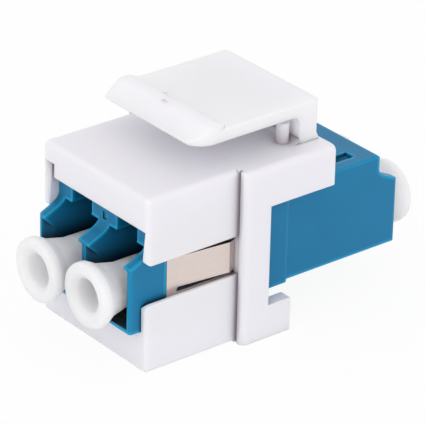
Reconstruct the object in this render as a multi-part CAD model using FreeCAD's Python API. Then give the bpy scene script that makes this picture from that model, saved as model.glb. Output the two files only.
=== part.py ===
import FreeCAD, Part
import math
import os

V = FreeCAD.Vector

# Frame: X across, Y from the front ports to the rear ports, Z up. The origin is on the base,
# under the joint between the two adapter halves. All sizes are in mm.

# Clearances
SLIDE_GAP = 0.09       # adapter side to carrier wall
SEAT_GAP = 0.05        # parts that rest on or stop against each other
HINGE_GAP = 0.04       # latch foot to its seat
CAP_GAP = 0.25         # dust cap shaft to the sleeve holder it slides over
SLEEVE_GAP = 0.03      # ceramic sleeve to its holder

# LC interface
PITCH = 6.25
PORT_W = 4.7
PORT_HALF = PORT_W / 2
FERRULE_R = 0.625
AXIS_Z = 6.73
PORT_DOWN = 2.36       # from the ferrule axis to the port's floor
PORT_UP = 5.5          # from the ferrule axis to the port's roof
LIP_T = 1.2            # thickness of the two lips that hold the plug latch
PORT_FLOOR_Z = AXIS_Z - PORT_DOWN
PORT_ROOF_Z = AXIS_Z + PORT_UP
LIP_Z = PORT_ROOF_Z - LIP_T
LIP_GAP = 2.75
LIP_DEPTH = 2.0
WINDOW_IN = 1.05
WINDOW_OUT = 2.15
WINDOW_L = 2.1

# Adapter body
BODY_HALF_W = 6.41
BODY_FLOOR_T = 0.62
BODY_ROOF_T = 0.37
BODY_LOW_Z = PORT_FLOOR_Z - BODY_FLOOR_T
BODY_TOP_Z = PORT_ROOF_Z + BODY_ROOF_T
FRONT_FACE_L = 12.3    # from the middle to the main face over the noses
REAR_FACE_L = 12.54
NOSE_L = 2.15
NOSE_ROOT_DROP = 1.95
NOSE_TIP_DROP = 2.8
NOSE_ROOT_Z = BODY_TOP_Z - NOSE_ROOT_DROP
NOSE_TIP_Z = BODY_TOP_Z - NOSE_TIP_DROP
NOSE_BEND = 0.55       # size of the curve that joins the nose to the main face
NOSE_EDGE_R = 0.3
BAND_HALF_L = 2.35
BAND_PROUD = 0.18
RAIL_R = 0.22          # rounding of the long top edges and of the main face's top edge
MID_WALL = 0.9
LIP_NOTCH = 1.2        # depth of the open mouth of the front latch channels
WELD_PIT = 0.5
HOLDER_R = 1.3
HOLDER_END = 4.6
HOLDER_MOUTH_GAP = 0.08    # ferrule to the lip at the holder's mouth
HOLDER_FLARE = 0.25
SLEEVE_HALF_L = 3.4
SLEEVE_WALL = 0.18
SLEEVE_SLIT = 0.2
LEAD_IN = 0.5          # width of the bevel round a port mouth
LEAD_DEPTH = 1.0

# Carrier
BOX_HALF_W = 7.2
BOX_H = 16.2
FRONT_Y = -13.36
STEP_Y = -3.86
FLANGE_HALF_W = 8.25
FLANGE_REAR_Y = -1.1
CAP_END_Y = 6.0
CAP_LOW_Z = BODY_TOP_Z - 0.1
FOOT_H = 3.1
FOOT_END_Y = 1.5
FOOT_T = 1.2
LIP_RISE = 0.6         # front lip above the adapter's top
LIP_LOW_Z = BODY_TOP_Z + LIP_RISE
NOTCH_TOP_Z = LIP_LOW_Z + 0.42 * (BOX_H - LIP_LOW_Z)
NOTCH_W = 0.85         # opening beside the front lip, on the left only
MOUTH_BEVEL = 0.45
SLOT_DOWN = 0.28       # from the ferrule axis to the side slot's lower edge
SLOT_UP = 3.37
SLOT_IN = 0.25         # how far the slot runs on into the flange
SLOT_MOUTH_R = 0.55
SLOT_LOW_Z = AXIS_Z - SLOT_DOWN
SLOT_TOP_Z = AXIS_Z + SLOT_UP
SLOT_END_Y = STEP_Y + SLOT_IN
SLOT_BEVEL = 0.4
EDGE_R = 0.5
FLANGE_EDGE_R = 0.6
CAP_EDGE_R = 0.35
FOOT_EDGE_R = 0.25
FRONT_CHAMFER = 0.25
CORE_WALL = 1.0        # walls left round the pockets in the carrier's floor
RELIEF_W = 0.28        # groove in the flange's front, where the sleeve's sides meet it
RELIEF_D = 0.3

# Latch
ARM_HALF_W = 6.25
FINGER_GAP = 2.58      # under the latch
ARM_LOW_Z = BOX_H + FINGER_GAP
ARM_T = 1.06
ARM_TOP_Z = ARM_LOW_Z + ARM_T
ARM_REAR_Y = 5.5
ARM_L = 13.25
ARM_FLAT_L = 9.6       # from the root to the foot of the catch
TIP_Y = ARM_REAR_Y - ARM_L
HUMP_H = 0.46
HUMP_Z = ARM_TOP_Z + HUMP_H
FOOT_WALL = 2.0
HINGE_R = FOOT_WALL / 2
HINGE_Y = ARM_REAR_Y - HINGE_R
ROOT_R = 0.9           # inside radius between the foot and the arm
ROOT_RISE = 0.6        # height of the fillet in front of the foot
ROOT_GAP = 0.13        # room for the foot to lean over that fillet
CATCH_STEP = 0.13      # small drop at the foot of the catch
CATCH_END_R = 2.0      # right corner of the free end, in plan
BROW_R = 0.6           # roundings of the catch, at the top of its slope and behind it
CREST_R = 0.5
POST_R = 0.57
POST_TO_HINGE = 1.92
POST_Y = HINGE_Y - POST_TO_HINGE
POST_X = 5.0
POST_GAP = 0.7

# Spring clip
SHEET_T = 0.3
BEND_R = 0.25          # inside radius of the clip's bends
CLIP_FRONT_Y = -10.65
CLIP_REAR_Y = -2.85
CLIP_UP = 4.27         # from the ferrule axis to the clip's top edge
WING_DOWN = 0.02       # from the ferrule axis to the wing's lower edge
WING_H = 2.85
CLIP_TOP_Z = AXIS_Z + CLIP_UP
WING_LOW_Z = AXIS_Z + WING_DOWN
WING_TOP_Z = WING_LOW_Z + WING_H
WING_ROOT_Y = -9.35
WING_END_Y = SLOT_END_Y - SEAT_GAP
WING_FLARE = 0.55
WING_TIP_L = 0.75      # the wing's end that turns in again
WING_TIP_IN = 0.3
WING_BEND_R = 0.25
SLIT_W = 0.42
CLIP_CORNER_R = 0.6
CLIP_RIM = 0.35        # strip left behind the wing's window

# Dust cap
CAP_R = 2.9
CAP_OUT = 2.3          # from the nose to the cap's face
CAP_FACE = FRONT_FACE_L + NOSE_L + CAP_OUT
CAP_HOLE_R = 1.5
CAP_HOLE_DEPTH = 3.4
CAP_WEB = 1.6
CAP_BEVEL = 0.4
CAP_RIM_L = 0.8
SHAFT_WALL = 0.4
SHAFT_BORE_R = HOLDER_R + CAP_GAP
SHAFT_R = SHAFT_BORE_R + SHAFT_WALL
SHAFT_END = 2.6
LEFT_CAP_OUT = 0.5     # how far the front left cap stands out of its port
LEFT_CAP_DROP = 0.16

os.makedirs("parts", exist_ok=True)


def save(shape, name):
    shape.exportStep("parts/" + name + ".step")


def block(x0, x1, y0, y1, z0, z1):
    return Part.makeBox(x1 - x0, y1 - y0, z1 - z0, V(x0, y0, z0))


def cylinder_y(radius, x, z, y0, y1):
    return Part.makeCylinder(radius, y1 - y0, V(x, y0, z), V(0, 1, 0))


def prism_x(points, x0, x1):
    """Extrude a (y, z) outline from x0 to x1."""
    wire = Part.makePolygon([V(x0, y, z) for y, z in points + points[:1]])
    return Part.Face(wire).extrude(V(x1 - x0, 0, 0))


def prism_y(points, y0, y1):
    """Extrude an (x, z) outline from y0 to y1."""
    wire = Part.makePolygon([V(x, y0, z) for x, z in points + points[:1]])
    return Part.Face(wire).extrude(V(0, y1 - y0, 0))


def edges_where(shape, test):
    found = []
    for edge in shape.Edges:
        box = edge.BoundBox
        if test(box):
            found.append(edge)
    return found


def along(axis, box):
    spans = {"x": box.XLength, "y": box.YLength, "z": box.ZLength}
    others = [spans[name] for name in spans if name != axis]
    return spans[axis] > 0.1 and max(others) < 1e-4


def near(value, target):
    return abs(value - target) < 1e-4


def mirror_x(shape):
    return shape.mirror(V(0, 0, 0), V(1, 0, 0))


def mirror_y(shape):
    return shape.mirror(V(0, 0, 0), V(0, 1, 0))


# Carrier

def carrier_sleeve():
    body = block(-BOX_HALF_W, BOX_HALF_W, FRONT_Y, STEP_Y + 1.0, 0, BOX_H)
    long_edges = edges_where(body, lambda b: along("y", b))
    body = body.makeFillet(EDGE_R, long_edges)
    front = edges_where(body, lambda b: near(b.YMax, FRONT_Y) and near(b.YMin, FRONT_Y))
    return body.makeChamfer(FRONT_CHAMFER, front)


def carrier_flange():
    outline = [
        (STEP_Y, 0),
        (FOOT_END_Y, 0),
        (FOOT_END_Y, FOOT_H),
        (FLANGE_REAR_Y, FOOT_H),
        (FLANGE_REAR_Y, CAP_LOW_Z),
        (CAP_END_Y, CAP_LOW_Z),
        (CAP_END_Y, BOX_H),
        (STEP_Y, BOX_H),
    ]
    body = prism_x(outline, -FLANGE_HALF_W, FLANGE_HALF_W)
    corners = edges_where(
        body,
        lambda b: along("z", b) and near(b.YMin, STEP_Y)
        or along("y", b) and near(b.ZMin, BOX_H),
    )
    body = body.makeFillet(FLANGE_EDGE_R, corners)
    rear_top = edges_where(body, lambda b: near(b.YMin, CAP_END_Y) and b.ZMin > CAP_LOW_Z + 1)
    body = body.makeFillet(CAP_EDGE_R, rear_top)
    tips = edges_where(
        body,
        lambda b: along("x", b) and near(b.YMin, FOOT_END_Y)
        or along("z", b) and near(b.YMin, FOOT_END_Y),
    )
    body = body.makeFillet(FOOT_EDGE_R, tips)
    gap = FLANGE_HALF_W - FOOT_T
    between_feet = block(-gap, gap, FLANGE_REAR_Y, FOOT_END_Y + 1, -1, FOOT_H + 1)
    return body.cut(between_feet)


def carrier_cavity():
    half = BODY_HALF_W + SLIDE_GAP
    floor_z = BODY_LOW_Z - SEAT_GAP
    notch_x = half - NOTCH_W
    outline = [
        (-half, floor_z),
        (half, floor_z),
        (half, LIP_LOW_Z),
        (-notch_x, LIP_LOW_Z),
        (-notch_x, NOTCH_TOP_Z),
        (-half, NOTCH_TOP_Z),
    ]
    sleeve = prism_y(outline, FRONT_Y - 1, STEP_Y + 0.4)
    band_half = BODY_HALF_W + BAND_PROUD + SEAT_GAP
    seat_front = -BAND_HALF_L - SEAT_GAP
    seat = block(
        -band_half, band_half, seat_front, CAP_END_Y + EDGE_R,
        BODY_LOW_Z - BAND_PROUD - SEAT_GAP, BODY_TOP_Z + BAND_PROUD + SEAT_GAP,
    )
    neck = block(-half, half, STEP_Y, seat_front + 0.1, floor_z, BODY_TOP_Z + 2 * SEAT_GAP)
    return sleeve.fuse(seat).fuse(neck)


def mouth_bevel(top_z):
    """Lead-in on the inner edge of the right wall up to top_z, which runs out at the slot."""
    inner = BODY_HALF_W + SLIDE_GAP
    ends = []
    for leg, z in ((MOUTH_BEVEL * 0.2, SLOT_TOP_Z), (MOUTH_BEVEL, top_z)):
        corners = [V(inner, FRONT_Y, z), V(inner + leg, FRONT_Y, z), V(inner, FRONT_Y + leg, z)]
        ends.append(Part.makePolygon(corners + corners[:1]))
    return Part.makeLoft(ends, True, True)


def slot_bevel():
    """Bevel on the inner edge of the right slot's lower side."""
    inner = BODY_HALF_W + SLIDE_GAP
    outline = [
        (inner, SLOT_LOW_Z),
        (inner, SLOT_LOW_Z - SLOT_BEVEL),
        (inner + SLOT_BEVEL, SLOT_LOW_Z),
    ]
    return prism_y(outline, FRONT_Y - SLOT_BEVEL, SLOT_END_Y)


def side_slot():
    """Slot in the right wall, closed by the flange and rounded where it opens at the front."""
    mouth_r = SLOT_MOUTH_R
    y0 = FRONT_Y
    low = SLOT_LOW_Z
    top = SLOT_TOP_Z
    bend = mouth_r * (1 - math.sqrt(0.5))
    points = {
        "out_low": V(0, y0 - 1, low - mouth_r),
        "low_a": V(0, y0, low - mouth_r),
        "low_m": V(0, y0 + bend, low - bend),
        "low_b": V(0, y0 + mouth_r, low),
        "end_low": V(0, SLOT_END_Y, low),
        "end_top": V(0, SLOT_END_Y, top),
        "top_b": V(0, y0 + mouth_r, top),
        "top_m": V(0, y0 + bend, top + bend),
        "top_a": V(0, y0, top + mouth_r),
        "out_top": V(0, y0 - 1, top + mouth_r),
    }
    wire = Part.Wire([
        Part.makeLine(points["out_low"], points["low_a"]),
        Part.Arc(points["low_a"], points["low_m"], points["low_b"]).toShape(),
        Part.makeLine(points["low_b"], points["end_low"]),
        Part.makeLine(points["end_low"], points["end_top"]),
        Part.makeLine(points["end_top"], points["top_b"]),
        Part.Arc(points["top_b"], points["top_m"], points["top_a"]).toShape(),
        Part.makeLine(points["top_a"], points["out_top"]),
        Part.makeLine(points["out_top"], points["out_low"]),
    ])
    slot = Part.Face(wire).extrude(V(BOX_HALF_W - BODY_HALF_W, 0, 0))
    slot.translate(V(BODY_HALF_W, 0, 0))
    return slot


def corner_relief():
    """Upright groove where the sleeve's right side meets the flange."""
    return block(
        BOX_HALF_W, BOX_HALF_W + RELIEF_W, STEP_Y - RELIEF_D, STEP_Y + RELIEF_D, -1, BOX_H + 1,
    )


def floor_cores():
    """Pockets that open to the rear under the adapter and keep the floor an even thickness."""
    wall = CORE_WALL
    far_x = BODY_HALF_W - wall
    pocket = block(wall / 2, far_x, FRONT_Y + 1.5 * wall, FLANGE_REAR_Y + wall, wall, BODY_LOW_Z - wall)
    return pocket.fuse(mirror_x(pocket))


def hinge_seat():
    half = ARM_HALF_W + SEAT_GAP
    start = V(-half, HINGE_Y, BOX_H)
    return Part.makeCylinder(HINGE_R + HINGE_GAP, 2 * half, start, V(1, 0, 0))


def stop_post(x):
    height = ARM_LOW_Z - POST_GAP - BOX_H
    return Part.makeCylinder(POST_R, height + POST_R, V(x, POST_Y, BOX_H - POST_R))


def root_fillet():
    """Concave rise of the carrier's top in front of the latch foot."""
    rear = ARM_REAR_Y - FOOT_WALL - ROOT_GAP
    front = rear - ROOT_RISE
    bend = ROOT_RISE * (1 - math.sqrt(0.5))
    half = ARM_HALF_W
    low = BOX_H - ROOT_GAP
    wire = Part.Wire([
        Part.makeLine(V(-half, front, low), V(-half, front, BOX_H)),
        Part.Arc(
            V(-half, front, BOX_H), V(-half, rear - bend, BOX_H + bend), V(-half, rear, BOX_H + ROOT_RISE),
        ).toShape(),
        Part.makeLine(V(-half, rear, BOX_H + ROOT_RISE), V(-half, rear, low)),
        Part.makeLine(V(-half, rear, low), V(-half, front, low)),
    ])
    return Part.Face(wire).extrude(V(2 * half, 0, 0))


def keystone_housing():
    slot = side_slot()
    body = carrier_sleeve().fuse(carrier_flange()).removeSplitter()
    body = body.cut(carrier_cavity())
    slot = slot.fuse(slot_bevel())
    right = slot.fuse(mouth_bevel(LIP_LOW_Z))
    left = mirror_x(slot.fuse(mouth_bevel(NOTCH_TOP_Z)))
    body = body.cut(right.fuse(left))
    body = body.cut(corner_relief()).cut(mirror_x(corner_relief()))
    body = body.cut(floor_cores())
    body = body.cut(hinge_seat())
    for x in (-POST_X, POST_X):
        body = body.fuse(stop_post(x))
    body = body.fuse(root_fillet())
    return body.removeSplitter()


# Latch

def latch_outline():
    """Side view of the latch with sharp corners; the catch rises from the tip and falls to its foot."""
    tip = ARM_T + HUMP_H
    foot_y = ARM_REAR_Y - ARM_FLAT_L
    return {
        "foot_low": (ARM_REAR_Y - FOOT_WALL, BOX_H),
        "root": (ARM_REAR_Y - FOOT_WALL, ARM_LOW_Z),
        "tip_low": (TIP_Y + tip * 0.1, ARM_LOW_Z),
        "tip": (TIP_Y, ARM_LOW_Z + tip * 0.1),
        "brow": (TIP_Y + tip * 1.1, HUMP_Z),
        "crest": (TIP_Y + tip * 1.7, HUMP_Z),
        "catch_heel": (foot_y - CATCH_STEP, ARM_TOP_Z + CATCH_STEP),
        "catch_foot": (foot_y, ARM_TOP_Z),
        "rear_top": (ARM_REAR_Y, ARM_TOP_Z),
        "rear_low": (ARM_REAR_Y, BOX_H),
    }


def latch_arm():
    corners = latch_outline()
    body = prism_x(list(corners.values()), -ARM_HALF_W, ARM_HALF_W)
    for name, radius in (("root", ROOT_R), ("brow", BROW_R), ("crest", CREST_R)):
        y, z = corners[name]
        corner = edges_where(body, lambda b: along("x", b) and near(b.YMin, y) and near(b.ZMin, z))
        body = body.makeFillet(radius, corner)
    plan_corners = edges_where(body, lambda b: along("z", b) and near(b.YMax, ARM_REAR_Y))
    body = body.makeFillet(HINGE_R * 0.4, plan_corners)
    start = V(-ARM_HALF_W, HINGE_Y, BOX_H)
    foot = Part.makeCylinder(HINGE_R, 2 * ARM_HALF_W, start, V(1, 0, 0))
    body = body.fuse(foot).removeSplitter()
    body = body.common(arm_plan())
    return body.cut(catch_end()).cut(catch_notch())


def arm_plan():
    """Plan outline of the latch: wide round corner on the right of its free end, small on the left."""
    plate = block(-ARM_HALF_W, ARM_HALF_W, TIP_Y, ARM_REAR_Y + 1, BOX_H - 2, HUMP_Z + 1)
    for x, radius in ((-ARM_HALF_W, CATCH_END_R * 0.2), (ARM_HALF_W, CATCH_END_R)):
        corner = edges_where(plate, lambda b: along("z", b) and near(b.YMax, TIP_Y) and near(b.XMax, x))
        plate = plate.makeFillet(radius, corner)
    return plate


def catch_end():
    """What is taken off the catch where its rear edge turns forward at the right end."""
    radius = CATCH_END_R * 0.65
    x = ARM_HALF_W - radius
    y = ARM_REAR_Y - ARM_FLAT_L - radius
    low = ARM_TOP_Z
    corner = block(x, ARM_HALF_W + 1, y, y + radius + 1, low, HUMP_Z + 1)
    return corner.cut(Part.makeCylinder(radius, HUMP_H + 2, V(x, y, low - 0.5)))


def catch_notch():
    """Marks left by the mould: a step in the foot of the catch and a small pit on its top."""
    foot_y = ARM_REAR_Y - ARM_FLAT_L
    step = block(
        -ARM_HALF_W * 0.35, -ARM_HALF_W * 0.12, foot_y - HUMP_H * 1.6, foot_y,
        ARM_TOP_Z, HUMP_Z + 1,
    )
    pit = block(
        -ARM_HALF_W * 0.1, 0, foot_y - HUMP_H * 4.2, foot_y - HUMP_H * 3.5,
        HUMP_Z - HUMP_H * 0.2, HUMP_Z + 1,
    )
    return step.fuse(pit)


# Adapter halves

def shell_outline(face_l):
    """Side view of one half: sloped nose that curves up into the main face."""
    rise = NOSE_ROOT_Z - NOSE_TIP_Z
    nose_y = -face_l - NOSE_L
    bend = NOSE_BEND
    return [
        (0, BODY_LOW_Z),
        (nose_y, BODY_LOW_Z),
        (nose_y, NOSE_TIP_Z),
        (-face_l - bend, NOSE_ROOT_Z - rise * 0.12),
        (-face_l - bend * 0.45, NOSE_ROOT_Z + bend * 0.22),
        (-face_l - bend * 0.12, NOSE_ROOT_Z + bend * 0.6),
        (-face_l, NOSE_ROOT_Z + bend * 1.1),
        (-face_l, BODY_TOP_Z),
        (0, BODY_TOP_Z),
    ]


def shell_body(face_l):
    body = prism_x(shell_outline(face_l), -BODY_HALF_W, BODY_HALF_W)
    nose = edges_where(body, lambda b: along("z", b) and near(b.YMin, -face_l - NOSE_L))
    body = body.makeFillet(NOSE_EDGE_R, nose)
    rails = edges_where(body, lambda b: near(b.ZMin, BODY_TOP_Z) and not near(b.YMax, 0)
                        or along("y", b) and near(b.ZMin, BODY_TOP_Z))
    body = body.makeFillet(RAIL_R, rails)
    proud = BAND_PROUD
    band = block(
        -BODY_HALF_W - proud, BODY_HALF_W + proud, -BAND_HALF_L, 0,
        BODY_LOW_Z - proud, BODY_TOP_Z + proud,
    )
    ends = edges_where(band, lambda b: near(b.YMin, -BAND_HALF_L) and near(b.YMax, -BAND_HALF_L))
    return body.fuse(band.makeChamfer(proud * 0.9, ends))


def port_cut(x, face_l):
    """One port: plug room, latch channel between two lips, and the rooms behind the lips."""
    half = PORT_HALF
    gap = LIP_GAP / 2
    mouth = [
        (x - half, PORT_FLOOR_Z),
        (x + half, PORT_FLOOR_Z),
        (x + half, LIP_Z),
        (x + gap, LIP_Z),
        (x + gap, PORT_ROOF_Z),
        (x - gap, PORT_ROOF_Z),
        (x - gap, LIP_Z),
        (x - half, LIP_Z),
    ]
    shoulder_y = LIP_DEPTH - face_l
    cut = prism_y(mouth, -face_l - NOSE_L - LEAD_IN, shoulder_y)
    room = block(x - half, x + half, shoulder_y, -MID_WALL, PORT_FLOOR_Z, PORT_ROOF_Z)
    cut = cut.fuse(room)
    for side in (-1, 1):
        near_x = x + side * WINDOW_IN
        far_x = x + side * WINDOW_OUT
        window = block(
            min(near_x, far_x), max(near_x, far_x), shoulder_y, shoulder_y + WINDOW_L,
            LIP_Z, BODY_TOP_Z + BAND_PROUD,
        )
        cut = cut.fuse(window)
    return cut


def port_lead_in(x, face_l):
    """Bevel round the sides and floor of one port mouth."""
    half = PORT_HALF
    top_z = NOSE_TIP_Z - LEAD_IN * 0.4
    mouth = -face_l - NOSE_L
    deep = mouth + LEAD_DEPTH
    inner = Part.makePolygon([
        V(x - half, deep, PORT_FLOOR_Z), V(x + half, deep, PORT_FLOOR_Z),
        V(x + half, deep, top_z - LEAD_DEPTH), V(x - half, deep, top_z - LEAD_DEPTH),
        V(x - half, deep, PORT_FLOOR_Z),
    ])
    wide = half + LEAD_IN
    low = PORT_FLOOR_Z - LEAD_IN * 0.6
    outer = Part.makePolygon([
        V(x - wide, mouth, low), V(x + wide, mouth, low),
        V(x + wide, mouth, top_z), V(x - wide, mouth, top_z),
        V(x - wide, mouth, low),
    ])
    return Part.makeLoft([inner, outer], True, True)


def sleeve_holder(x):
    """Tube that carries half of one ceramic sleeve and keeps it in by a lip at its mouth."""
    bore_r = FERRULE_R + SLEEVE_WALL + SLEEVE_GAP
    mouth_r = FERRULE_R + HOLDER_MOUTH_GAP
    flare = HOLDER_FLARE
    stop = SLEEVE_HALF_L + SEAT_GAP
    profile = [
        V(bore_r, 0, 0), V(HOLDER_R, 0, 0),
        V(HOLDER_R, -HOLDER_END, 0), V(mouth_r + flare, -HOLDER_END, 0),
        V(mouth_r, -HOLDER_END + flare, 0),
        V(mouth_r, -stop, 0), V(bore_r, -stop, 0), V(bore_r, 0, 0),
    ]
    tube = Part.Face(Part.makePolygon(profile)).revolve(V(0, 0, 0), V(0, 1, 0), 360)
    tube.translate(V(x, 0, AXIS_Z))
    return tube


def clip_recess():
    t = SHEET_T + 0.02
    y0 = CLIP_FRONT_Y - SEAT_GAP
    y1 = -BAND_HALF_L + 0.01
    side = block(BODY_HALF_W - t, BODY_HALF_W + 1, y0, y1, 0, CLIP_TOP_Z + SEAT_GAP)
    under = block(-BODY_HALF_W - 1, BODY_HALF_W + 1, y0, y1, 0, BODY_LOW_Z + t)
    x = BODY_HALF_W - t
    z = BODY_LOW_Z + t
    bend = prism_y([(x + 1, z - 1), (x + 1, z + BEND_R + 1), (x - BEND_R - 1, z - 1)], y0, y1)
    side = side.fuse(bend)
    return side.fuse(mirror_x(side)).fuse(under)


def adapter_half(face_l):
    """Front half, open towards -Y; the rear half is the same shape turned round."""
    body = shell_body(face_l)
    bore_r = FERRULE_R + SLEEVE_WALL + SLEEVE_GAP
    for x in (-PITCH / 2, PITCH / 2):
        body = body.cut(port_cut(x, face_l))
        body = body.cut(port_lead_in(x, face_l))
        body = body.cut(cylinder_y(bore_r, x, AXIS_Z, -2 * MID_WALL, MID_WALL))
        body = body.fuse(sleeve_holder(x))
    return body


def front_details():
    """What only the front half has: room for the clip, open latch channels and a weld pit."""
    gap = LIP_GAP / 2
    cut = clip_recess()
    for x in (-PITCH / 2, PITCH / 2):
        mouth = block(
            x - gap, x + gap, -FRONT_FACE_L - NOSE_L, LIP_NOTCH - FRONT_FACE_L,
            LIP_Z, BODY_TOP_Z + BAND_PROUD,
        )
        cut = cut.fuse(mouth)
    half = WELD_PIT / 2
    pit = block(
        -half, half, -FRONT_FACE_L - NOSE_L, half / 2 - FRONT_FACE_L,
        LIP_Z + half, LIP_Z + 4 * half,
    )
    return cut.fuse(pit)


# Spring clip

def clip_plate():
    """Flat blank of the right flank in the YZ plane: plate with a wing cut free on three sides."""
    plate = block(0, SHEET_T, CLIP_FRONT_Y, CLIP_REAR_Y, BODY_LOW_Z + 0.5, CLIP_TOP_Z)
    corners = edges_where(plate, lambda b: along("x", b) and near(b.ZMin, CLIP_TOP_Z))
    plate = plate.makeFillet(CLIP_CORNER_R, corners)
    mid_r = SLIT_W / 2
    for z0 in (WING_LOW_Z - SLIT_W, WING_TOP_Z):
        slit = block(-1, 1, WING_ROOT_Y, CLIP_REAR_Y - CLIP_RIM, z0, z0 + SLIT_W)
        end = Part.makeCylinder(mid_r, 2, V(-1, WING_ROOT_Y, z0 + mid_r), V(1, 0, 0))
        plate = plate.cut(slit.fuse(end))
    window = block(-1, 1, WING_ROOT_Y, CLIP_REAR_Y - CLIP_RIM, WING_LOW_Z - 0.01, WING_TOP_Z + 0.01)
    return plate.cut(window)


def clip_wing():
    """Sprung wing: a strip that leans outward from its root and turns in again at its end."""
    t = SHEET_T
    y0 = WING_ROOT_Y - 0.02
    y2 = WING_END_Y
    y1 = y2 - WING_TIP_L
    tip_x = WING_FLARE - WING_TIP_IN
    points = [
        V(0, y0, 0), V(WING_FLARE, y1, 0), V(tip_x, y2, 0),
        V(tip_x + t * 0.93, y2 + 0.02, 0), V(WING_FLARE + t, y1 + 0.06, 0),
        V(t, y0, 0), V(0, y0, 0),
    ]
    strip = Part.Face(Part.makePolygon(points)).extrude(V(0, 0, WING_TOP_Z - WING_LOW_Z))
    strip.translate(V(0, 0, WING_LOW_Z))
    bend = edges_where(strip, lambda b: along("z", b) and abs((b.YMin - y1) - 0.03) < 0.05)
    return strip.makeFillet(WING_BEND_R, bend)


def clip_saddle():
    """Web under the body with the two bends that turn it up into the flanks."""
    half = BODY_HALF_W
    z0 = BODY_LOW_Z
    outer_r = BEND_R + SHEET_T
    frame = block(-half, half, CLIP_FRONT_Y, CLIP_REAR_Y, z0, z0 + 3)
    frame = frame.makeFillet(outer_r, edges_where(frame, lambda b: along("y", b) and near(b.ZMin, z0)))
    inside = block(-half + SHEET_T, half - SHEET_T, CLIP_FRONT_Y - 1, CLIP_REAR_Y + 1, z0 + SHEET_T, z0 + 4)
    low_edges = edges_where(inside, lambda b: along("y", b) and near(b.ZMin, z0 + SHEET_T))
    inside = inside.makeFillet(BEND_R, low_edges)
    above = block(-half - 1, half + 1, CLIP_FRONT_Y - 1, CLIP_REAR_Y + 1, z0 + outer_r, z0 + 5)
    return frame.cut(inside).cut(above)


def retaining_clip():
    flank = clip_plate().fuse(clip_wing())
    flank.translate(V(BODY_HALF_W - SHEET_T, 0, 0))
    body = clip_saddle().fuse(flank).fuse(mirror_x(flank))
    return body.removeSplitter()


# Sleeves and caps

def alignment_sleeve(x):
    outer = cylinder_y(FERRULE_R + SLEEVE_WALL, x, AXIS_Z, -SLEEVE_HALF_L, SLEEVE_HALF_L)
    inner = cylinder_y(FERRULE_R, x, AXIS_Z, -SLEEVE_HALF_L - 1, SLEEVE_HALF_L + 1)
    half = SLEEVE_SLIT / 2
    slit = block(x - half, x + half, -SLEEVE_HALF_L - 1, SLEEVE_HALF_L + 1, AXIS_Z, AXIS_Z + 2)
    return outer.cut(inner).cut(slit)


def dust_cap():
    """Front cap on its own axis: rounded head, long flared neck, hollow shaft, blind hole."""
    face = -CAP_FACE
    floor_y = face + CAP_HOLE_DEPTH
    lip = CAP_R - CAP_HOLE_R
    neck = CAP_R - SHAFT_R
    outline = [
        (0, floor_y),
        (CAP_HOLE_R, floor_y),
        (CAP_HOLE_R, face + CAP_BEVEL),
        (CAP_HOLE_R + lip * 0.4, face),
        (CAP_R - CAP_BEVEL * 0.75, face),
        (CAP_R - CAP_BEVEL * 0.2, face + CAP_BEVEL * 0.3),
        (CAP_R, face + CAP_BEVEL),
        (CAP_R, face + CAP_RIM_L),
        (CAP_R - neck * 0.55, face + CAP_RIM_L * 2.2),
        (SHAFT_R, face + CAP_RIM_L * 4.6),
        (SHAFT_R, -SHAFT_END),
        (SHAFT_BORE_R, -SHAFT_END),
        (SHAFT_BORE_R, floor_y + CAP_WEB),
        (0, floor_y + CAP_WEB),
    ]
    wire = Part.makePolygon([V(r, y, 0) for r, y in outline + outline[:1]])
    cap = Part.Face(wire).revolve(V(0, 0, 0), V(0, 1, 0), 360)
    cap.translate(V(0, 0, AXIS_Z))
    return cap


save(keystone_housing(), "keystone_housing")
save(latch_arm(), "latch_arm")
save(adapter_half(FRONT_FACE_L).cut(front_details()), "adapter_front_shell")
turned = adapter_half(REAR_FACE_L).rotate(V(0, 0, 0), V(0, 0, 1), 180)
save(turned, "adapter_rear_shell")
save(retaining_clip(), "retaining_clip")
for side, x in (("left", -PITCH / 2), ("right", PITCH / 2)):
    save(alignment_sleeve(x), "alignment_sleeve_" + side)
    cap = dust_cap()
    cap.translate(V(x, 0, 0))
    rear = mirror_y(cap)
    rear.translate(V(0, REAR_FACE_L - FRONT_FACE_L, 0))
    save(rear, "dust_cap_rear_" + side)
    if side == "left":
        cap.translate(V(0, -LEFT_CAP_OUT, -LEFT_CAP_DROP))
    save(cap, "dust_cap_front_" + side)
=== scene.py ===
import math

import bpy
from mathutils import Matrix, Vector


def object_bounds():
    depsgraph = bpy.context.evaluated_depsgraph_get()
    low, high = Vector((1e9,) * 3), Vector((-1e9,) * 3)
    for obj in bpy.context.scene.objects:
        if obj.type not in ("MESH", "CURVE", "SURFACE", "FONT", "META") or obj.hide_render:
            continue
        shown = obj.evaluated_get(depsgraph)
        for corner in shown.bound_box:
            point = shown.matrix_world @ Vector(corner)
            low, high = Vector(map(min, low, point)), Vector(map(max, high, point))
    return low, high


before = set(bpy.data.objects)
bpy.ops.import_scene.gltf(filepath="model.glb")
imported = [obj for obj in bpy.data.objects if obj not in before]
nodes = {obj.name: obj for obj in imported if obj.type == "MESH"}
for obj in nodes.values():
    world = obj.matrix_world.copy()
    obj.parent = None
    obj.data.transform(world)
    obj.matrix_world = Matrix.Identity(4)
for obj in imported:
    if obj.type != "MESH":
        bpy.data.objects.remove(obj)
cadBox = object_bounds()
mm = 0.001
middle = (Vector(cadBox[0]) + Vector(cadBox[1])) / 2
bevelRays = 6
openRays = 8
print("frame loaded:", len(nodes), "pieces")


def hexColour(text):
    # sRGB hex to the linear values that a shader takes
    parts = [int(text[i:i + 2], 16) / 255 for i in (1, 3, 5)]
    linear = [c / 12.92 if c <= 0.04045 else ((c + 0.055) / 1.055) ** 2.4 for c in parts]
    return (*linear, 1.0)


def scaleFor(size):
    # texture scale that makes one feature about `size` millimetres wide
    return 1 / (size * mm)


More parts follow.
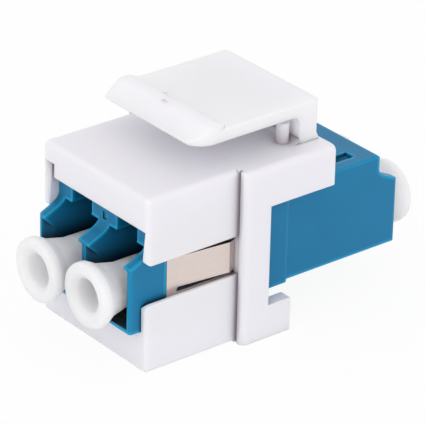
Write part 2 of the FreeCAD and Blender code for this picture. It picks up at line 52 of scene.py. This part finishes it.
def addNode(tree, kind, settings=None, links=None):
    node = tree.nodes.new(kind)
    for name, value in (settings or {}).items():
        if isinstance(name, int) or name in node.inputs:
            node.inputs[name].default_value = value
        else:
            setattr(node, name, value)
    for name, (source, output) in (links or {}).items():
        tree.links.new(source.outputs[output], node.inputs[name])
    return node


def addNoise(tree, place, size, detail):
    return addNode(tree, "ShaderNodeTexNoise", {"Scale": scaleFor(size), "Detail": detail},
                   {"Vector": (place, "Object")})


def mixColours(tree, share, low, high):
    # `low` and `high` are each a hex colour or another node's output
    sides = {6: low, 7: high}
    fixed = {side: hexColour(colour) for side, colour in sides.items() if isinstance(colour, str)}
    joined = {side: colour for side, colour in sides.items() if side not in fixed}
    return addNode(tree, "ShaderNodeMix", {"data_type": "RGBA", **fixed}, {0: share, **joined})


def addSheen(tree, roughness, source):
    # roughness that follows a texture between its lowest and its highest value
    low, high = roughness
    return addNode(tree, "ShaderNodeMapRange", {"To Min": low, "To Max": high}, {"Value": source})


def roundedEdges(tree, radius):
    return addNode(tree, "ShaderNodeBevel", {"samples": bevelRays, "Radius": radius * mm})


def newMaterial(name):
    material = bpy.data.materials.new(name)
    material.use_nodes = True
    material.node_tree.nodes.clear()
    return material, material.node_tree


def finishMaterial(tree, shader):
    addNode(tree, "ShaderNodeOutputMaterial", links={"Surface": (shader, 0)})


def dress(names, material):
    for name in names:
        piece = nodes[name]
        piece.data.materials.clear()
        piece.data.materials.append(material)


# What every moulding shares
moulding = {
    "flowDetail": 3.0, "grainDetail": 2.0,
    "grainDepth": 0.01,                     # millimetres
    # thickShare and thinShare set where the painted edge highlight falls
    "thickShare": 0.97, "thinShare": 0.6,   # share of inward rays that stay inside the plastic
}


def paintedHighlightMask(tree, look):
    # painted highlight mask: 0 in a thick wall, rising to the look's share at a thin edge, where
    # the paler tone is painted on as a highlight
    inward = addNode(tree, "ShaderNodeAmbientOcclusion", {
        "samples": openRays, "inside": True, "only_local": True,
        "Distance": look["paintedHighlightReach"] * mm,
    })
    return addNode(tree, "ShaderNodeMapRange", {
        "From Min": moulding["thickShare"], "From Max": moulding["thinShare"],
        "To Min": 0.0, "To Max": look["paintedHighlightShare"],
    }, {"Value": (inward, "AO")})


def paintedShadeMask(tree, look):
    # painted shade mask: 0 deep in a crease, where the darker tone is painted on as shade, 1 in
    # the open
    outward = addNode(tree, "ShaderNodeAmbientOcclusion", {
        "samples": openRays, "only_local": look["paintedShadeAlone"],
        "Distance": look["paintedShadeReach"] * mm,
    })
    return addNode(tree, "ShaderNodeMapRange",
                   {"From Min": look["paintedShadeFrom"], "From Max": look["paintedShadeTo"]},
                   {"Value": (outward, "AO")})


def mouldedPlastic(name, look):
    # An injection moulding: soft sheen, a faint grain from the tool's surface, slow changes of
    # tone where the melt flowed, and edges rounded by the tool. A paler tone is painted on at
    # thin edges as a highlight, and a darker tone is painted into creases as shade.
    material, tree = newMaterial(name)
    place = addNode(tree, "ShaderNodeTexCoord")
    flow = addNoise(tree, place, look["flowSize"], moulding["flowDetail"])
    grain = addNoise(tree, place, look["grainSize"], moulding["grainDetail"])
    tone = mixColours(tree, (flow, "Fac"), look["deepTone"], look["tone"])
    # painted highlight: a paler tone painted on at thin edges
    edge = paintedHighlightMask(tree, look)
    outer = mixColours(tree, (edge, "Result"), (tone, 2), look["paintedHighlightTone"])
    # painted shade: a darker tone painted into creases and corners where shade falls
    crease = paintedShadeMask(tree, look)
    colour = mixColours(tree, (crease, "Result"), look["paintedShadeTone"], (outer, 2))
    sheen = addSheen(tree, look["roughness"], (grain, "Fac"))
    rounded = roundedEdges(tree, look["edgeRadius"])
    bump = addNode(tree, "ShaderNodeBump",
                   {"Strength": look["grainStrength"], "Distance": moulding["grainDepth"] * mm},
                   {"Height": (grain, "Fac"), "Normal": (rounded, "Normal")})
    plastic = addNode(tree, "ShaderNodeBsdfPrincipled", {
        "IOR": look["ior"], "Specular IOR Level": look["mirror"],
        "Subsurface Weight": look["glow"],
        "Subsurface Radius": look["glowRadius"],
        "Subsurface Scale": look["glowDepth"] * mm,
    }, {"Base Color": (colour, 2), "Roughness": (sheen, "Result"), "Normal": (bump, "Normal")})
    finishMaterial(tree, plastic)
    return material


# ABS, injection moulded: opaque white with a cool cast, satin and barely see-through; a paler
# tone is painted on at its edges as a highlight, and a lilac grey is painted into its creases as
# shade
carrierPlastic = {
    "tone": "#F1F0F5", "deepTone": "#EDECF1", "flowSize": 7.0,
    "paintedHighlightTone": "#FBFAFC", "paintedHighlightShare": 0.7, "paintedHighlightReach": 0.3,
    "grainSize": 0.16,      # the real spark-eroded grain is about 0.04, too fine to show
    "grainStrength": 0.10, "roughness": (0.38, 0.47), "edgeRadius": 0.16, "ior": 1.54,
    "mirror": 0.4, "glow": 0.4, "glowRadius": (1.0, 0.92, 0.97), "glowDepth": 1.2,
    "paintedShadeTone": "#B6AEB6", "paintedShadeReach": 3.0, "paintedShadeFrom": 0.5, "paintedShadeTo": 0.88,
    "paintedShadeAlone": True,
}
whiteAbs = mouldedPlastic("whiteAbsMoulded", carrierPlastic)
dress(["keystone_housing"], whiteAbs)
print("carrier dressed")

# The same ABS, but thin enough in the latch to glow a little when lit from above; its tone is
# painted lighter than the carrier's to stand in for light on its top, and its crease shade is
# painted paler
latchPlastic = {
    **carrierPlastic, "tone": "#F4F3F7", "deepTone": "#F0EFF3", "glow": 1.0, "glowDepth": 1.6,
    "paintedShadeTone": "#D6D1D8", "paintedShadeReach": 1.0, "paintedShadeFrom": 0.3, "paintedShadeTo": 0.8,
}
thinWhiteAbsPaintedLighter = mouldedPlastic("whiteAbsMouldedThinPaintedLighter", latchPlastic)
dress(["latch_arm"], thinWhiteAbsPaintedLighter)
print("latch dressed")

# PBT, injection moulded: blue, a little glossier; a paler cyan is painted on at its thin edges as
# a highlight, and a near-black navy is painted into its hollows as shade
adapterPlastic = {
    "tone": "#0F7DAB", "deepTone": "#0D739F", "flowSize": 4.0,
    "paintedHighlightTone": "#0FA2D0", "paintedHighlightShare": 1.0, "paintedHighlightReach": 0.36,
    "grainSize": 0.14,      # the real grain is about 0.03
    "grainStrength": 0.12, "roughness": (0.32, 0.41), "edgeRadius": 0.2, "ior": 1.55,
    "mirror": 0.2, "glow": 0.1, "glowRadius": (0.2, 0.7, 1.0), "glowDepth": 0.5,
    "paintedShadeTone": "#060A18", "paintedShadeReach": 4.0, "paintedShadeFrom": 0.28, "paintedShadeTo": 0.64,
    "paintedShadeAlone": False,
}
bluePbt = mouldedPlastic("bluePbtMoulded", adapterPlastic)
dress(["adapter_front_shell", "adapter_rear_shell"], bluePbt)
print("adapter halves dressed")

# Polyethylene, injection moulded: milky, lets light through its thin walls, waxy sheen; a whiter
# tone is painted on at its edges as a highlight, and a pale grey is painted into its creases as
# shade
capPlastic = {
    "tone": "#F7F6F7", "deepTone": "#F2F1F2", "flowSize": 3.0,
    "paintedHighlightTone": "#FDFDFD", "paintedHighlightShare": 0.5, "paintedHighlightReach": 0.5,
    "grainSize": 0.2,
    "grainStrength": 0.08, "roughness": (0.42, 0.51), "edgeRadius": 0.28, "ior": 1.51,
    "mirror": 0.4, "glow": 1.0, "glowRadius": (1.0, 0.95, 0.95), "glowDepth": 2.4,
    "paintedShadeTone": "#EAE8EA", "paintedShadeReach": 0.8, "paintedShadeFrom": 0.2, "paintedShadeTo": 0.8,
    "paintedShadeAlone": True,
}
milkyPolyethylene = mouldedPlastic("milkyPolyethyleneMoulded", capPlastic)
capNames = sorted(name for name in nodes if name.startswith("dust_cap"))
dress(capNames, milkyPolyethylene)
print("dust caps dressed:", len(capNames))


# Stainless spring strip, cold rolled: fine lines along its length, warm grey, blurred mirror
springStrip = {
    "tone": "#E5D7D1", "deepTone": "#D8CBC5",
    "lineWidth": 0.09, "lineLength": 4.0, "lineDepth": 0.004, "lineDetail": 4.0,
    "lineStrength": 0.3, "roughness": (0.25, 0.38), "edgeRadius": 0.06, "along": 0.5,
}


def rolledSteel(name, look):
    material, tree = newMaterial(name)
    place = addNode(tree, "ShaderNodeTexCoord")
    across = scaleFor(look["lineWidth"])
    lines = addNode(tree, "ShaderNodeMapping",
                    {"Scale": (across, scaleFor(look["lineLength"]), across)},
                    {"Vector": (place, "Object")})
    brushed = addNode(tree, "ShaderNodeTexNoise", {"Scale": 1.0, "Detail": look["lineDetail"]},
                      {"Vector": (lines, "Vector")})
    tone = mixColours(tree, (brushed, "Fac"), look["deepTone"], look["tone"])
    sheen = addSheen(tree, look["roughness"], (brushed, "Fac"))
    rounded = roundedEdges(tree, look["edgeRadius"])
    bump = addNode(tree, "ShaderNodeBump",
                   {"Strength": look["lineStrength"], "Distance": look["lineDepth"] * mm},
                   {"Height": (brushed, "Fac"), "Normal": (rounded, "Normal")})
    steel = addNode(tree, "ShaderNodeBsdfPrincipled",
                    {"Metallic": 1.0, "Anisotropic": look["along"]},
                    {"Base Color": (tone, 2), "Roughness": (sheen, "Result"),
                     "Normal": (bump, "Normal")})
    finishMaterial(tree, steel)
    return material


rolledSpringSteel = rolledSteel("stainlessStripRolled", springStrip)
dress(["retaining_clip"], rolledSpringSteel)
print("clip dressed")


# Zirconia, ground and polished: ivory white, hard gloss, fine grinding rings
sleeveCeramic = {
    "tone": "#F1EFE8", "deepTone": "#E9E6DD", "roughness": 0.14, "ior": 2.1,
    "ringScale": 625.0,     # wave scale of rings about 0.5 apart
    "ringBend": 1.5, "ringDepth": 0.002, "ringStrength": 0.1,
    "glow": 0.2, "glowRadius": (1.0, 0.9, 0.8), "glowDepth": 0.3,
}


def groundZirconia(name, look):
    material, tree = newMaterial(name)
    place = addNode(tree, "ShaderNodeTexCoord")
    rings = addNode(tree, "ShaderNodeTexWave", {
        "bands_direction": "Y", "Scale": look["ringScale"], "Distortion": look["ringBend"],
    }, {"Vector": (place, "Object")})
    tone = mixColours(tree, (rings, "Fac"), look["deepTone"], look["tone"])
    bump = addNode(tree, "ShaderNodeBump",
                   {"Strength": look["ringStrength"], "Distance": look["ringDepth"] * mm},
                   {"Height": (rings, "Fac")})
    ceramic = addNode(tree, "ShaderNodeBsdfPrincipled", {
        "Roughness": look["roughness"], "IOR": look["ior"],
        "Subsurface Weight": look["glow"],
        "Subsurface Radius": look["glowRadius"],
        "Subsurface Scale": look["glowDepth"] * mm,
    }, {"Base Color": (tone, 2), "Normal": (bump, "Normal")})
    finishMaterial(tree, ceramic)
    return material


polishedZirconia = groundZirconia("zirconiaGroundPolished", sleeveCeramic)
dress(["alignment_sleeve_left", "alignment_sleeve_right"], polishedZirconia)
print("sleeves dressed")


studio = {
    "floorSize": 1.2,                   # metres
    "floorShow": 0.92,      # share of plain white that a ray from the eye or a reflection gets
    "paperTone": "#FFFFFF", "fibreTone": "#FCFCFC", "fibreSize": 0.4, "fibreDetail": 2.0,
    "skyTone": "#FFFEFF", "horizon": 0.76, "zenith": 0.89,      # the room's light, low and high
    "shownTone": "#FFFFFF",
}
softBoxes = {                           # places and sizes in metres
    "keySoftBox": {"power": 0.33, "size": 0.42, "place": (0.04, -0.38, 0.13)},
    "fillSoftBox": {"power": 0.27, "size": 0.42, "place": (0.38, 0.02, 0.10)},
}


def whiteForTheEye(tree):
    # 1 for rays from the eye, from a glossy surface or through a clear one
    path = addNode(tree, "ShaderNodeLightPath")
    seen = addNode(tree, "ShaderNodeMath", {"operation": "MAXIMUM"},
                   {0: (path, "Is Camera Ray"), 1: (path, "Is Glossy Ray")})
    return addNode(tree, "ShaderNodeMath", {"operation": "MAXIMUM"},
                   {0: (seen, 0), 1: (path, "Is Transmission Ray")})


def paperFloor(look):
    size = look["floorSize"] / 2
    mesh = bpy.data.meshes.new("paperFloor")
    low = cadBox[0][2]
    corners = [(-size, -size, low), (size, -size, low), (size, size, low), (-size, size, low)]
    mesh.from_pydata(corners, [], [(0, 1, 2, 3)])
    floor = bpy.data.objects.new("paperFloor", mesh)
    bpy.context.scene.collection.objects.link(floor)

    # Studio paper, rolled out: matt white, and brought up to plain white where it is looked at
    material, tree = newMaterial("studioPaperMatt")
    place = addNode(tree, "ShaderNodeTexCoord")
    fibre = addNoise(tree, place, look["fibreSize"], look["fibreDetail"])
    tone = mixColours(tree, (fibre, "Fac"), look["fibreTone"], look["paperTone"])
    paper = addNode(tree, "ShaderNodeBsdfDiffuse", links={"Color": (tone, 2)})
    shown = addNode(tree, "ShaderNodeEmission",
                    {"Color": hexColour(look["shownTone"]), "Strength": 1.0})
    share = addNode(tree, "ShaderNodeMath", {"operation": "MULTIPLY", 1: look["floorShow"]},
                    {0: (whiteForTheEye(tree), 0)})
    both = addNode(tree, "ShaderNodeMixShader",
                   links={0: (share, 0), 1: (paper, 0), 2: (shown, 0)})
    finishMaterial(tree, both)
    mesh.materials.append(material)


def skyLight(look):
    world = bpy.data.worlds.new("whiteRoom")
    bpy.context.scene.world = world
    world.use_nodes = True
    tree = world.node_tree
    tree.nodes.clear()
    place = addNode(tree, "ShaderNodeTexCoord")
    upward = addNode(tree, "ShaderNodeSeparateXYZ", links={0: (place, "Generated")})
    level = addNode(tree, "ShaderNodeMapRange",
                    {"To Min": look["horizon"], "To Max": look["zenith"]},
                    {"Value": (upward, "Z")})
    lit = addNode(tree, "ShaderNodeBackground", {"Color": hexColour(look["skyTone"])},
                  {"Strength": (level, "Result")})
    shown = addNode(tree, "ShaderNodeBackground",
                    {"Color": hexColour(look["shownTone"]), "Strength": 1.0})
    both = addNode(tree, "ShaderNodeMixShader",
                   links={0: (whiteForTheEye(tree), 0), 1: (lit, 0), 2: (shown, 0)})
    addNode(tree, "ShaderNodeOutputWorld", links={"Surface": (both, 0)})


def softBox(name, look):
    lamp = bpy.data.lights.new(name, "AREA")
    lamp.size = look["size"]
    lamp.energy = look["power"]
    box = bpy.data.objects.new(name, lamp)
    bpy.context.scene.collection.objects.link(box)
    box.location = look["place"]
    inward = middle - Vector(look["place"])
    box.rotation_euler = inward.to_track_quat("-Z", "Y").to_euler()


paperFloor(studio)
skyLight(studio)
for name, look in softBoxes.items():
    softBox(name, look)
print("floor and light ready")


eye = {
    "azimuth": -39.29, "height": 26.66, "roll": 1.375,      # degrees
    "distance": 275.13, "aim": (0.30, -0.82, -1.53),        # millimetres from the middle
    "lens": 272.0, "sensor": 36.0,                          # millimetres
    "nearest": 0.01, "farthest": 5.0,                       # metres
}


def setCamera(look):
    turn = math.radians(look["azimuth"])
    rise = math.radians(look["height"])
    flat = math.cos(rise)
    direction = Vector((math.cos(turn) * flat, math.sin(turn) * flat, math.sin(rise)))
    camera = bpy.data.cameras.new("eye")
    camera.lens = look["lens"]
    camera.sensor_width = look["sensor"]
    camera.clip_start = look["nearest"]
    camera.clip_end = look["farthest"]
    holder = bpy.data.objects.new("eye", camera)
    bpy.context.scene.collection.objects.link(holder)
    holder.location = middle + direction * look["distance"] * mm
    aim = middle + Vector(look["aim"]) * mm
    facing = (aim - holder.location).to_track_quat("-Z", "Y").to_matrix()
    tilt = Matrix.Rotation(math.radians(look["roll"]), 3, "Z")
    holder.rotation_euler = (facing @ tilt).to_euler()
    bpy.context.scene.camera = holder


setCamera(eye)
bpy.context.scene.view_settings.view_transform = "Standard"
print("camera set")
